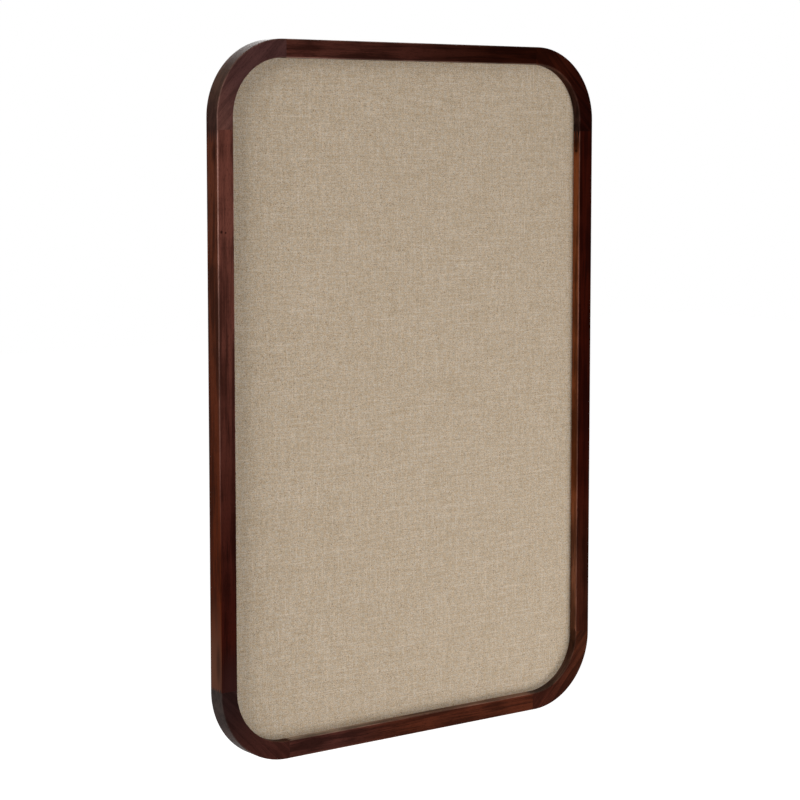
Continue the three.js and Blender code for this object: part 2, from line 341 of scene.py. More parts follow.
@dataclass(frozen=True)
class StainedHardwood(Finish):
    """Rubberwood, planed, sanded, dyed dark red-brown and lacquered to a satin.

    The dye drowns the figure on the faces and leaves the sawn edges warmer and lighter, end grain drinks
    it and goes dull and grey, and the short pores stay as fine dark dashes along the grain.
    """

    # The dye's tones, with a painted highlight in their drift along the grain.
    dye_and_highlight: DyeAndHighlight
    place: Point
    grain_turn: float
    marks: tuple[Mark, ...]
    end_tone: str = "#2a1f16"
    end_share: float = 0.3
    pore_tone: str = "#0e0301"
    # Pale tone of the arrises: partly wear, partly a painted highlight along the rounded edge.
    arris_wear_and_highlight_tone: str = "#8a665c"
    # Fibre, pores, figure and stain, in millimetres across, across and along the grain. The real pores
    # are about 0.2 mm wide, and they are drawn half as wide again so that they show.
    fibre_size: Point = (1.1, 1.1, 36)
    pore_size: Point = (0.3, 0.3, 6)
    figure_size: Point = (7, 7, 170)
    stain_size: Point = (38, 38, 60)
    streak_span: Span = (0.42, 0.58)
    pore_span: Span = (0.56, 0.68)
    satin: Span = (0.28, 0.38)
    fibre_depth: float = 0.05

    def surface(self, tree: Tree) -> Inputs:
        """Makes dyed grain with a painted highlight, pores and marks under satin lacquer.

        Args:
            tree: The material's node tree.

        Returns:
            The shader's inputs by name.
        """
        turned = {"place": self.place, "turn": self.grain_turn}
        fibre = pattern(tree, self.fibre_size, **turned, Detail=3, Roughness=0.6)
        pores = pattern(tree, self.pore_size, **turned, Detail=1)
        figure = pattern(tree, self.figure_size, **turned, Detail=4, Distortion=0.7)
        stain = pattern(tree, self.stain_size, **turned, Detail=2)
        streaks = weigh(tree, (fibre, 0.25), (figure, 0.45), (stain, 0.3))
        shades = (1 - self.dye_and_highlight.contrast, 1 + self.dye_and_highlight.contrast)
        colour = shaded(tree, self.dyed_and_highlighted(tree), streaks, self.streak_span, shades)
        colour = layered(tree, colour, (pores, self.pore_span, (0, 0.6), self.pore_tone))
        for mark in self.marks:
            where = placed(tree, mark.size, mark.centre)
            distance = add_node(tree, "VectorMath", [where], "Value", operation="LENGTH")
            colour = layered(tree, colour, (distance, (1, 0.2), (0, mark.strength), mark.tone))
        hollows = add_node(tree, "MapRange", [pores, *self.pore_span], **SMOOTH)
        height = add_node(tree, "Math", [fibre, hollows], operation="SUBTRACT")
        bump: Inputs = {"Height": height, "Distance": MM * self.fibre_depth, "Strength": 0.5}
        # The thin lacquer mirrors little of the white room, and the dye below it tints what it does.
        return {
            "Base Color": colour,
            "Roughness": add_node(tree, "MapRange", [fibre, *NOISE, *self.satin], **SMOOTH),
            "IOR": 1.25,
            "Specular IOR Level": 0.03,
            "Specular Tint": linear("#ff8066"),
            "Normal": add_node(tree, "Bump", bump),
        }

    def dyed_and_highlighted(self, tree: Tree) -> Socket:
        """Makes the dye's colour on faces, sawn edges, end grain and arrises, with a painted highlight in
        it.

        Args:
            tree: The material's node tree.

        Returns:
            The colour, which drifts along the grain, partly as dye and partly as a painted highlight; the
            arrises lighten partly with wear and partly with a painted highlight.
        """
        reach = self.dye_and_highlight.reach
        where = placed(tree, (reach, reach, reach), self.dye_and_highlight.centre, self.grain_turn)
        along = add_node(tree, "SeparateXYZ", [where], "Z")
        # Partly the dye's own drift and partly a painted highlight along the grain.
        dye_and_highlight_drift = add_node(tree, "MapRange", [along, -1, 1], **SMOOTH)
        colour, edge = (
            add_node(tree, "Mix", {0: dye_and_highlight_drift, 6: linear(low), 7: linear(high)}, 2, **COLOUR)
            for low, high in (self.dye_and_highlight.face, self.dye_and_highlight.edge)
        )
        edges, ends, arrises = (
            add_node(tree, "Attribute", out="Fac", attribute_name=trait.value) for trait in Trait
        )
        cut = add_node(tree, "Math", [ends, self.end_share], operation="MULTIPLY")
        # Wear and a painted highlight on the arrises, drifting along the grain with the tones.
        wear_and_highlight_along = add_node(tree, "MapRange", [dye_and_highlight_drift, 0, 1, *self.dye_and_highlight.wear_and_highlight], **SMOOTH)
        wear_and_highlight = add_node(tree, "Math", [arrises, wear_and_highlight_along], operation="MULTIPLY")
        for share, over in ((edges, edge), (cut, linear(self.end_tone)), (wear_and_highlight, linear(self.arris_wear_and_highlight_tone))):
            colour = add_node(tree, "Mix", {0: share, 6: colour, 7: over}, 2, **COLOUR)
        return colour


@dataclass(frozen=True)
class NaturalLinen(Finish):
    """Unbleached linen in plain weave: uneven flax threads with slubs, tan flecks and a dry, matt face."""

    pale: str = "#c9baaa"
    tan: str = "#8d795a"
    cool: str = "#f4faff"
    warm: str = "#fffaf2"
    fleck: str = "#8f734f"
    speck: str = "#6b5844"
    # Warp and weft threads are 0.75 mm apart, and each crossing shows the tone of the thread on top.
    thread_pitch: float = 0.75
    wander: float = 2.5
    wander_size: float = 40
    grit_size: Point = (1.1, 0.9, 0.9)
    # How far slubs, threads and pale streaks run, and how wide they are.
    slub: Span = (7, 0.9)
    thread: Span = (30, 1.3)
    streak: Span = (60, 1.0)
    # How much grit, slubs and threads weigh in the tone, which swings about half their sum.
    weights: Point = (1.45, 0.6, 0.6)
    swing: float = 0.78
    # Each tone comes in over this span of its noise.
    hue_span: Span = (0.35, 0.65)
    streak_span: Span = (0.68, 0.82)
    fleck_span: Span = (0.6, 0.72)
    speck_span: Span = (0.69, 0.75)
    # Painted shade: the gaps between threads are darker than their tops, and the tops a little lighter,
    # over this span of their height.
    crevice_shade_span: Span = (0.1, 0.85)
    shades: Span = (0.72, 1.12)
    hue_size: Point = (5, 5, 2.2)
    fleck_size: Point = (3.5, 3.5, 1.0)
    speck_size: Point = (1.3, 1.3, 1.3)
    hair_size: Point = (0.3, 0.3, 0.12)
    thread_depth: float = 0.12

    def surface(self, tree: Tree) -> Inputs:
        """Makes woven flax.

        Args:
            tree: The material's node tree.

        Returns:
            The shader's inputs by name.
        """
        laid = self.laid(tree)
        warp_up, height = self.weave(tree, laid)
        thread = self.on_thread(tree, laid, warp_up)
        grit = pattern(tree, self.grit_size, (17, 0, 1), read_at=thread, Detail=0)
        slubs, threads, streaks = (
            self.top_yarn(tree, size, thread, warp_up) for size in (self.slub, self.thread, self.streak)
        )
        tone = weigh(tree, *zip((grit, slubs, threads), self.weights))
        middle = sum(self.weights) / 2
        swing = (middle - self.swing, middle + self.swing)
        colour = layered(tree, linear(self.tan), (tone, swing, WHOLE, self.pale))
        hues = pattern(tree, self.hue_size, (40, 0, 9), read_at=thread, Detail=1)
        hue = layered(tree, linear(self.cool), (hues, self.hue_span, WHOLE, self.warm))
        colour = add_node(tree, "Mix", {0: 1.0, 6: colour, 7: hue}, 2, blend_type="MULTIPLY", **COLOUR)
        flecks = pattern(tree, self.fleck_size, (15, 0, 30), read_at=thread, Detail=1)
        specks = pattern(tree, self.speck_size, (80, 0, 10), read_at=thread, Detail=0)
        colour = layered(
            tree,
            colour,
            (streaks, self.streak_span, (0, 0.7), self.pale),
            (flecks, self.fleck_span, (0, 0.5), self.fleck),
            (specks, self.speck_span, (0, 0.85), self.speck),
        )
        hairs = pattern(tree, self.hair_size, Detail=1)
        # The threads' height and hairs give the bump, and the base colour a painted shade in the gaps
        # between threads.
        lit = weigh(tree, (hairs, 0.35), (height, 1))
        bump: Inputs = {"Height": lit, "Distance": MM * self.thread_depth, "Strength": 0.6}
        return {
            "Base Color": shaded(tree, colour, lit, self.crevice_shade_span, self.shades),
            "Roughness": 0.95,
            "Specular IOR Level": 0.1,
            "Sheen Weight": 0.05,
            "Normal": add_node(tree, "Bump", bump),
        }

    def laid(self, tree: Tree) -> Socket:
        """Makes the cloth's own coordinates, in which the threads wander a little to each side.

        Args:
            tree: The material's node tree.

        Returns:
            The coordinates, in metres.
        """
        own = add_node(tree, "TexCoord", out="Object")
        scale = 1 / (MM * self.wander_size)
        noise = add_node(tree, "TexNoise", {"Vector": own, "Scale": scale, "Detail": 2}, "Color")
        return add_node(tree, "VectorMath", [noise, [MM * self.wander] * 3, own], operation="MULTIPLY_ADD")

    def on_thread(self, tree: Tree, laid: Socket, warp_up: Socket) -> Socket:
        """Makes coordinates that run on along the top thread and stay the same across it.

        Args:
            tree: The material's node tree.
            laid: The cloth's own coordinates.
            warp_up: 1 where the warp is on top, 0 where the weft is.

        Returns:
            Where a pattern is read, so that each thread has its own tones.
        """
        pitch = MM * self.thread_pitch
        snapped = add_node(tree, "VectorMath", [laid, (pitch, 1, pitch)], operation="SNAP")
        weft_up = add_node(tree, "Math", [1, warp_up], operation="SUBTRACT")
        shares = add_node(tree, "CombineXYZ", [warp_up, 1, weft_up])
        inputs: Inputs = {1: shares, 4: laid, 5: snapped}
        return add_node(tree, "Mix", inputs, 1, data_type="VECTOR", factor_mode="NON_UNIFORM")

    def top_yarn(self, tree: Tree, size: Span, thread: Socket, warp_up: Socket) -> Socket:
        """Makes noise drawn out along the thread that lies on top.

        Args:
            tree: The material's node tree.
            size: How far a slub runs along its thread and how wide it is, in millimetres.
            thread: Where the top thread is read.
            warp_up: 1 where the warp is on top, 0 where the weft is.

        Returns:
            The noise's value, about 0.5 on average.
        """
        length, width = size
        weft = pattern(tree, (1.2 * length, length, width), (3 + length, 0, 7), read_at=thread, Detail=0)
        # The warp is seen foreshortened in the render, so it is drawn a little wider than the weft.
        wide = (1.1 * width, length, 0.7 * length)
        warp = pattern(tree, wide, (11, 0, 5 + length), read_at=thread, Detail=0)
        return add_node(tree, "Mix", {0: warp_up, 2: weft, 3: warp})

    def weave(self, tree: Tree, laid: Socket) -> tuple[Socket, Socket]:
        """Makes the over and under of the plain weave.

        Args:
            tree: The material's node tree.
            laid: The cloth's own coordinates.

        Returns:
            1 where the warp is on top and 0 where the weft is, and the top thread's height from 0 to 1.
        """
        half_waves = math.pi / (MM * self.thread_pitch)
        waves = []
        for axis in ("X", "Z"):
            along = add_node(tree, "SeparateXYZ", [laid], axis)
            turned = add_node(tree, "Math", [along, half_waves], operation="MULTIPLY")
            waves.append(add_node(tree, "Math", [turned], operation="SINE"))
        product = add_node(tree, "Math", waves, operation="MULTIPLY")
        warp_up = add_node(tree, "Math", [product, 0], operation="GREATER_THAN")
        across, up, bulge = (
            add_node(tree, "Math", [value], operation="ABSOLUTE") for value in (*waves, product)
        )
        round_side = add_node(tree, "Mix", {0: warp_up, 2: up, 3: across})
        return warp_up, weigh(tree, (round_side, 0.65), (bulge, 0.35))


@dataclass(frozen=True)
class Fibreboard(Finish):
    """Soft fibreboard: pressed wood fibre, felted and matt, with loose fibres that catch the light."""

    pale: str = "#b09670"
    dark: str = "#8a7048"
    fibre_size: Point = (1.2, 1.2, 5)
    tone_span: Span = (0.35, 0.65)
    fibre_depth: float = 0.4

    def surface(self, tree: Tree) -> Inputs:
        """Makes felted fibre.

        Args:
            tree: The material's node tree.

        Returns:
            The shader's inputs by name.
        """
        fibre = pattern(tree, self.fibre_size, Detail=4, Distortion=2)
        bump: Inputs = {"Height": fibre, "Distance": MM * self.fibre_depth, "Strength": 0.6}
        return {
            "Base Color": layered(tree, linear(self.dark), (fibre, self.tone_span, WHOLE, self.pale)),
            "Roughness": 0.95,
            "Normal": add_node(tree, "Bump", bump),
        }


@dataclass(frozen=True)
class Hardboard(Finish):
    """Hardboard, hot-pressed smooth: mid brown with fine dark fibre and a faint sheen from the platen."""

    pale: str = "#8a6547"
    dark: str = "#5d3f29"
    fleck: str = "#3d2819"
    fibre_size: Point = (1.4, 1.4, 2.6)
    cloud_size: Point = (60, 60, 60)
    fleck_size: Point = (0.9, 0.9, 2.8)
    fleck_turn: float = 0.6
    fleck_span: Span = (0.64, 0.72)
    sheen: Span = (0.5, 0.65)
    fibre_depth: float = 0.1

    def surface(self, tree: Tree) -> Inputs:
        """Makes pressed fibre with dark flecks.

        Args:
            tree: The material's node tree.

        Returns:
            The shader's inputs by name.
        """
        fibre = pattern(tree, self.fibre_size, Detail=4, Distortion=1.5)
        cloud = pattern(tree, self.cloud_size, Detail=3)
        flecks = pattern(tree, self.fleck_size, (30, 0, 30), self.fleck_turn, Detail=1)
        tone = weigh(tree, (fibre, 0.8), (cloud, 0.2))
        colour = layered(
            tree,
            linear(self.dark),
            (tone, NOISE, WHOLE, self.pale),
            (flecks, self.fleck_span, (0, 0.7), self.fleck),
        )
        bump: Inputs = {"Height": fibre, "Distance": MM * self.fibre_depth, "Strength": 0.4}
        return {
            "Base Color": colour,
            "Roughness": add_node(tree, "MapRange", [fibre, *NOISE, *self.sheen], **SMOOTH),
            "Specular IOR Level": 0.3,
            "Normal": add_node(tree, "Bump", bump),
        }


@dataclass(frozen=True)
class RolledSteel(Finish):
    """Steel strip or wire with thin bright plating: grey metal, faint draw lines and cloudy patches."""

    pale: str = "#a3a5a8"
    dark: str = "#75787c"
    line_size: Point = (0.15, 0.15, 8)
    cloud_size: Point = (3, 3, 3)
    cloud_span: Span = (0.35, 0.65)
    tone_span: Span = (0.38, 0.62)
    gloss: Span = (0.24, 0.4)
    line_depth: float = 0.02

    def surface(self, tree: Tree) -> Inputs:
        """Makes drawn and plated metal.

        Args:
            tree: The material's node tree.

        Returns:
            The shader's inputs by name.
        """
        lines = pattern(tree, self.line_size, Detail=2)
        cloud = pattern(tree, self.cloud_size, Detail=3)
        tone = weigh(tree, (lines, 0.4), (cloud, 0.6))
        bump: Inputs = {"Height": lines, "Distance": MM * self.line_depth, "Strength": 0.3}
        return {
            "Base Color": layered(tree, linear(self.dark), (tone, self.tone_span, WHOLE, self.pale)),
            "Roughness": add_node(tree, "MapRange", [cloud, *self.cloud_span, *self.gloss], **SMOOTH),
            "Metallic": 1.0,
            "Normal": add_node(tree, "Bump", bump),
        }


@dataclass(frozen=True)
class MouldedRubber(Finish):
    """Moulded rubber, dark and slightly soft to the light, with a fine bloom and dust in its texture."""

    body: str = "#242425"
    bloom: str = "#48484a"
    grit_size: Point = (0.5, 0.5, 0.5)
    cloud_size: Point = (4, 4, 4)
    bloom_span: Span = (0.4, 0.7)
    matt: Span = (0.5, 0.7)
    grit_depth: float = 0.04

    def surface(self, tree: Tree) -> Inputs:
        """Makes matt rubber with bloom.

        Args:
            tree: The material's node tree.

        Returns:
            The shader's inputs by name.
        """
        grit = pattern(tree, self.grit_size, Detail=3)
        cloud = pattern(tree, self.cloud_size, Detail=2)
        bump: Inputs = {"Height": grit, "Distance": MM * self.grit_depth, "Strength": 0.4}
        return {
            "Base Color": layered(tree, linear(self.body), (cloud, self.bloom_span, WHOLE, self.bloom)),
            "Roughness": add_node(tree, "MapRange", [grit, *NOISE, *self.matt], **SMOOTH),
            "Specular IOR Level": 0.4,
            "Normal": add_node(tree, "Bump", bump),
        }


# Meshes


def finish_piece(
    bm: Mesh, name: str, finish: Finish, sharp: float, node: str, body: str = "board"
) -> Piece:
    """Turns a bmesh in millimetres into a finished piece in metres, at the origin.

    Args:
        bm: The mesh, which is freed.
        name: The piece's name.
        finish: The finish that it takes.
        sharp: The angle in degrees past which an edge stays crisp.
        node: The CAD node that it replaces.
        body: The body that it rides on.

    Returns:
        The new piece.
    """
    bmesh.ops.remove_doubles(bm, verts=bm.verts, dist=SAME)
    bmesh.ops.recalc_face_normals(bm, faces=bm.faces)
    bmesh.ops.scale(bm, verts=bm.verts, vec=(MM, MM, MM))
    for face in bm.faces:
        face.smooth = True
    for edge in bm.edges:
        edge.smooth = edge.calc_face_angle(math.pi) < math.radians(sharp)
    mesh = bpy.data.meshes.new(name)
    bm.to_mesh(mesh)
    bm.free()
    mesh.materials.append(finish.material())
    piece = bpy.data.objects.new(name, mesh)
    bpy.context.scene.collection.objects.link(piece)
    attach(piece, body)
    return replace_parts(piece, node)


def bevel(bm: Mesh, geometry: Sequence[object], kind: Rounded, radius: float, segments: int) -> None:
    """Rounds corners of a flat face or edges of a solid.

    Args:
        bm: The mesh.
        geometry: The corners or edges to round.
        kind: Which of the two they are.
        radius: The rounding's reach along each side.
        segments: The number of steps in each.
    """
    bmesh.ops.bevel(
        bm,
        geom=geometry,
        offset=radius,
        offset_type="OFFSET",
        segments=segments,
        profile=0.5,
        affect=kind.value,
        material=-1,
    )


def round_outline(
    bm: Mesh, points: Iterable[Point], radius: float, segments: int, corners: Iterable[int] | None = None
) -> Face:
    """Makes one flat face with round corners, as the first face of a mesh.

    Args:
        bm: The empty mesh that takes it.
        points: Its corners in order.
        radius: The radius at a square corner.
        segments: The number of steps in each round.
        corners: The numbers of the corners to round, or None for all.

    Returns:
        The face.
    """
    verts = [bm.verts.new(point) for point in points]
    bm.faces.new(verts)
    chosen = verts if corners is None else [verts[i] for i in corners]
    bevel(bm, chosen, Rounded.CORNERS, radius, segments)
    bm.faces.ensure_lookup_table()
    return bm.faces[0]


def round_rims(bm: Mesh, radius: float, segments: int) -> None:
    """Rounds every edge of a slab that lies square to Y.

    Args:
        bm: The slab's mesh.
        radius: The rounding's reach along each side.
        segments: The number of steps.
    """
    rims = [e for e in bm.edges if abs(e.verts[0].co.y - e.verts[1].co.y) < SAME]
    bevel(bm, rims, Rounded.EDGES, radius, segments)


def cut_across(bm: Mesh, place: Vector, normal: Vector) -> None:
    """Cuts every face of a mesh along a plane and keeps both sides.

    Args:
        bm: The mesh.
        place: A point of the plane.
        normal: The plane's normal.
    """
    geometry = bm.verts[:] + bm.edges[:] + bm.faces[:]
    bmesh.ops.bisect_plane(bm, geom=geometry, dist=0.1 * SAME, plane_co=place, plane_no=normal)


def extrude(bm: Mesh, face: Face, move: Vector) -> Face:
    """Extrudes one face along a straight line.

    Args:
        bm: The mesh.
        face: The face to extrude.
        move: Where its copy goes from there.

    Returns:
        The face at the new end.
    """
    region = [face, *face.edges, *face.verts]
    grown = bmesh.ops.extrude_face_region(bm, geom=region)["geom"]
    bmesh.ops.translate(bm, verts=[v for v in grown if isinstance(v, bmesh.types.BMVert)], vec=move)
    return next(f for f in grown if isinstance(f, Face))


def spin(bm: Mesh, face: Face, centre: Vector, axis: Vector, angle: float, steps: int) -> Face:
    """Extrudes one face round an axis.

    Args:
        bm: The mesh.
        face: The face to sweep.
        centre: A point on the axis.
        axis: The axis's direction.
        angle: The angle in radians.
        steps: The number of steps.

    Returns:
        The face at the new end.
    """
    swept = bmesh.ops.spin(
        bm, geom=[face], cent=centre, axis=axis, angle=angle, steps=steps, use_duplicate=False
    )
    return next(f for f in swept["geom_last"] if isinstance(f, Face))


def lathe(bm: Mesh, profile: Iterable[Span], steps: int) -> None:
    """Turns a profile, which starts and ends on the Y axis, once about it.

    Args:
        bm: The mesh.
        profile: Radius and height of its points in order.
        steps: The number of steps in the turn.
    """
    verts = [bm.verts.new((radius, height, 0)) for radius, height in profile]
    edges = [bm.edges.new(pair) for pair in zip(verts, verts[1:])]
    bmesh.ops.spin(
        bm, geom=verts + edges, cent=ORIGIN, axis=Y_AXIS, angle=FULL_TURN, steps=steps, use_merge=True
    )
    bmesh.ops.remove_doubles(bm, verts=bm.verts, dist=SAME)


def arc(half_axes: Span, centre: Span, steps: Iterable[int], whole: int) -> list[Span]:
    """Points of a quarter of an ellipse, from its X side to its Y side.

    Args:
        half_axes: The ellipse's half width and half height.
        centre: Its centre's X and Y.
        steps: Which steps of the quarter turn are wanted.
        whole: The number of steps in the quarter turn.

    Returns:
        The points in order.
    """
    angles = [QUARTER_TURN * step / whole for step in steps]
    return [
        (centre[0] + half_axes[0] * math.cos(a), centre[1] + half_axes[1] * math.sin(a)) for a in angles
    ]


# Frame

# The dye took differently in each length of timber, so each has its own tones, and part of each one's drift
# along the grain is a painted highlight where a lamp's reflection falls.
DYE_AND_HIGHLIGHT_TONES: dict[str, DyeAndHighlight] = {
    "left_stile": DyeAndHighlight(("#270a06", "#512d25"), ("#411807", "#401f13"), wear_and_highlight=(0, 0.7)),
    "right_stile": DyeAndHighlight(
        ("#2d120a", "#240703"), ("#583423", "#562b15"), centre=(0, 0, -200), reach=70, wear_and_highlight=(0.12, 0.2)
    ),
    "top_rail": DyeAndHighlight(("#3b1e18", "#1c0703"), ("#544438", "#5f4c3d"), reach=200, wear_and_highlight=(0.4, 0.1)),
    "bottom_rail": DyeAndHighlight(("#391d18", "#401d11"), ("#7b6857", "#664a3a"), centre=(-70, 0, 0), reach=70),
    "corner_top_left": DyeAndHighlight(
        ("#5c3b34", "#402826"),
        ("#2e1815", "#422f26"),
        centre=(-284, 0, 366),
        reach=45,
        wear_and_highlight=(0.45, 0.2),
        contrast=0.25,
    ),
    "corner_top_right": DyeAndHighlight(
        ("#280d06", "#1a0503"), ("#48281b", "#1b0e0c"), centre=(276, 0, 428), reach=70, wear_and_highlight=(0.05, 0.05)
    ),
    "corner_bottom_left": DyeAndHighlight(
        ("#1f1211", "#381c17"),
        ("#372f2d", "#3b1c0c"),
        centre=(-276, 0, -428),
        reach=70,
        wear_and_highlight=(0, 0.1),
        contrast=0.3,
    ),
    "corner_bottom_right": DyeAndHighlight(
        ("#381911", "#371a0f"), ("#49372d", "#2a1207"), centre=(276, 0, -428), reach=70, wear_and_highlight=(0.05, 0.05)
    ),
}
# Two paler patches at the left stile's lower end, two knots in its face, and dark wood beside the
# finger joints.
MARKS: dict[str, tuple[Mark, ...]] = {
    "left_stile": (
        Mark((-305, -13, -365), (1.2, 60, 150), strength=1, tone="#523225"),
        Mark((-291, -31, -362), (24, 6, 75), strength=0.8, tone="#2b1513"),
        Mark((-300, -31, 219), (2.6, 4, 3), strength=0.9),
        Mark((-294, -31, 218), (1.8, 3, 2), strength=0.9),
        Mark((-305, -22, 315), (6, 7, 18), strength=0.6),
        Mark((-305, -24, -322), (5, 7, 38), strength=0.5),
    ),
    "right_stile": (
        Mark((281.5, -24, 328), (5, 10, 20), strength=0.8),
        Mark((281.5, -24, 317), (5, 5, 3), strength=0.9),
    ),
}


@dataclass(frozen=True)
class BoardSizes:
    """The sizes that every part of the board shares, in millimetres."""

    width: float
    height: float
    front: float
    depth: float
    corner_radius: float = 98
    face_width: float = 23.5
    recess: float = 12.25
    ledge: float = 6.5

    @classmethod
    def from_frame(cls) -> "BoardSizes":
        """Reads the board's outside sizes from the CAD nodes.

        Returns:
            The sizes in millimetres.
        """
        left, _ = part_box("left_stile")
        _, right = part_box("right_stile")
        low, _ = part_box("bottom_rail")
        _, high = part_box("top_rail")
        return cls(
            width=(right.x - left.x) / MM,
            height=(high.z - low.z) / MM,
            front=left.y / MM,
            depth=(right.y - left.y) / MM,
        )

    @property
    def wall(self) -> float:
        """Width of the frame beside the rabbet."""
        return self.face_width - self.ledge

    @property
    def arc_x(self) -> float:
        """X of the corner arcs' centres."""
        return self.width / 2 - self.corner_radius

    @property
    def arc_z(self) -> float:
        """Z of the corner arcs' centres."""
        return self.height / 2 - self.corner_radius


@dataclass(frozen=True)
class Joint:
    """One finger joint: how far it stands past the arc's end, and how long its fingers are."""

    past: float
    fingers: float


@dataclass
class TimberFrame:
    """The frame: two stiles, two rails and four corner blocks, joined by glued fingers."""

    sizes: BoardSizes
    arris_radius: float = 1.25
    arris_segments: int = 8
    fingers_across: int = 5
    tip_flat: float = 0.6
    # The dried glue line is about 0.1 mm.
    glue: float = 0.1
    arc_steps: int = 48
    sharp: float = 5
    top_joint: Joint = Joint(past=15, fingers=16)
    bottom_joint: Joint = Joint(past=2, fingers=4)
    rail_joint: Joint = Joint(past=4, fingers=4)
    # Where the grain's patterns are centred, so that no two lengths show the same grain.
    stile_grain: Point = (90, 11, 400)
    rail_grain: Point = (60, 7, 310)
    corner_grain: Point = (130, 23, 210)
    # A face is part of a round arris where its turn from the front is between these.
    arris_turns: Span = (0.05, 0.998)

    def build(self) -> list[Piece]:
        """Builds and dresses the eight pieces."""
        pieces = [self.stile(side) for side in Side] + [self.rail(level) for level in Level]
        return pieces + [self.corner(side, level) for level in Level for side in Side]

    @property
    def half_pitch(self) -> float:
        """Half the width of a finger, across the timber's depth."""
        return self.sizes.depth / self.fingers_across / 2

    def section(self, bm: Mesh) -> Face:
        """Draws the frame's section in the XY plane, X inwards from the outside and Y from front to back.

        Args:
            bm: The mesh that takes it.

        Returns:
            The section's face, with its front and outer back arrises rounded.
        """
        s = self.sizes
        front = [(0, 0, 0), (s.face_width, 0, 0), (s.face_width, s.recess, 0), (s.wall, s.recess, 0)]
        back = [(s.wall, s.depth, 0), (0, s.depth, 0)]
        return round_outline(bm, front + back, self.arris_radius, self.arris_segments, (0, 1, 4, 5))

    def cut_fingers(self, bm: Mesh) -> None:
        """Cuts the timber across its depth wherever the zigzag of a finger joint turns.

        Args:
            bm: The mesh, with its front at Y zero.
        """
        for i in range(2 * self.fingers_across + 1):
            for shift in (-self.tip_flat / 2, self.tip_flat / 2):
                depth = i * self.half_pitch + shift
                if 0 < depth < self.sizes.depth:
                    cut_across(bm, Y_AXIS * depth, Y_AXIS)

    def zigzag(self, depth: float) -> float:
        """Works out how far into a finger the joint is at a depth.

        Args:
            depth: The depth behind the frame's front.

        Returns:
            The share of a finger's length: 0 at both faces, 1 at the roots.
        """
        step = depth / self.half_pitch
        off = abs(step - 2 * round(step / 2)) * self.half_pitch
        share = (off - self.tip_flat / 2) / (self.half_pitch - self.tip_flat)
        return min(1.0, max(0.0, share))

    def shape_end(self, bm: Mesh, outward: Vector, limit: float, move: float) -> None:
        """Pushes the vertices of one end along the timber, to the joint's zigzag.

        Args:
            bm: The mesh, already cut for the fingers.
            outward: The direction that the end faces.
            limit: How far that way a vertex has to be to belong to the end.
            move: The push outwards at a finger's root.
        """
        for vert in bm.verts:
            if vert.co.dot(outward) > limit:
                vert.co += outward * move * self.zigzag(vert.co.y)

    def straight(self, low: float, high: float, low_joint: Joint, high_joint: Joint) -> Mesh:
        """Shapes a straight length along Z, with X inwards from the board's outside.

        Args:
            low: Z of its lower end.
            high: Z of its upper end.
            low_joint: The finger joint at its lower end.
            high_joint: The finger joint at its upper end.

        Returns:
            The mesh.
        """
        bm = bmesh.new()
        extrude(bm, self.section(bm), Z_AXIS * (high - low))
        bmesh.ops.translate(bm, verts=bm.verts, vec=Z_AXIS * low)
        self.cut_fingers(bm)
        middle = (low + high) / 2
        self.shape_end(bm, -Z_AXIS, -middle, -low_joint.fingers)
        self.shape_end(bm, Z_AXIS, middle, -high_joint.fingers)
        return bm

    def dress(self, bm: Mesh, name: str, grain: Vector, place: Point) -> Piece:
        """Puts a length of timber at its depth and gives it its dye.

        Args:
            bm: The mesh, with its front at Y zero.
            name: The CAD node that it replaces.
            grain: The direction of the grain.
            place: The centre of its grain's pattern.

        Returns:
            The finished piece.
        """
        bmesh.ops.translate(bm, verts=bm.verts, vec=Y_AXIS * self.sizes.front)
        bmesh.ops.recalc_face_normals(bm, faces=bm.faces)
        edges, ends, arrises = (bm.faces.layers.float.new(trait.value) for trait in Trait)
        least, most = self.arris_turns
        for face in bm.faces:
            sideways = math.hypot(face.normal.x, face.normal.z)
            face[edges] = sideways
            face[ends] = abs(face.normal.dot(grain))
            face[arrises] = 1.0 if least < sideways < most else 0.0
        turn = math.atan2(grain.x, grain.z)
        finish = StainedHardwood(f"stained_rubberwood_{name}", DYE_AND_HIGHLIGHT_TONES[name], place, turn, MARKS.get(name, ()))
        return finish_piece(bm, f"{name}_timber", finish, self.sharp, name)

    def stile(self, side: Side) -> Piece:
        """Builds one stile.

        Args:
            side: The side that it stands on.

        Returns:
            The finished piece.
        """
        s = self.sizes
        low = self.bottom_joint.past - s.arc_z
        high = s.arc_z - self.top_joint.past
        bm = self.straight(low, high, self.bottom_joint, self.top_joint)
        bmesh.ops.translate(bm, verts=bm.verts, vec=(-s.width / 2, 0, 0))
        bmesh.ops.scale(bm, verts=bm.verts, vec=(-side.value, 1, 1))
        x, y, z = self.stile_grain
        return self.dress(bm, f"{side.name.lower()}_stile", Z_AXIS, (x * side.value, y, z))

    def rail(self, level: Level) -> Piece:
        """Builds one rail.

        Args:
            level: The level that it lies at.

        Returns:
            The finished piece.
        """
        half = self.sizes.arc_x - self.rail_joint.past
        bm = self.straight(-half, half, self.rail_joint, self.rail_joint)
        bmesh.ops.rotate(bm, verts=bm.verts, cent=ORIGIN, matrix=Matrix.Rotation(QUARTER_TURN, 3, "Y"))
        bmesh.ops.translate(bm, verts=bm.verts, vec=(0, 0, self.sizes.height / 2))
        bmesh.ops.scale(bm, verts=bm.verts, vec=(1, 1, level.value))
        x, y, z = self.rail_grain
        return self.dress(bm, f"{level.name.lower()}_rail", X_AXIS, (x, y, z * level.value))

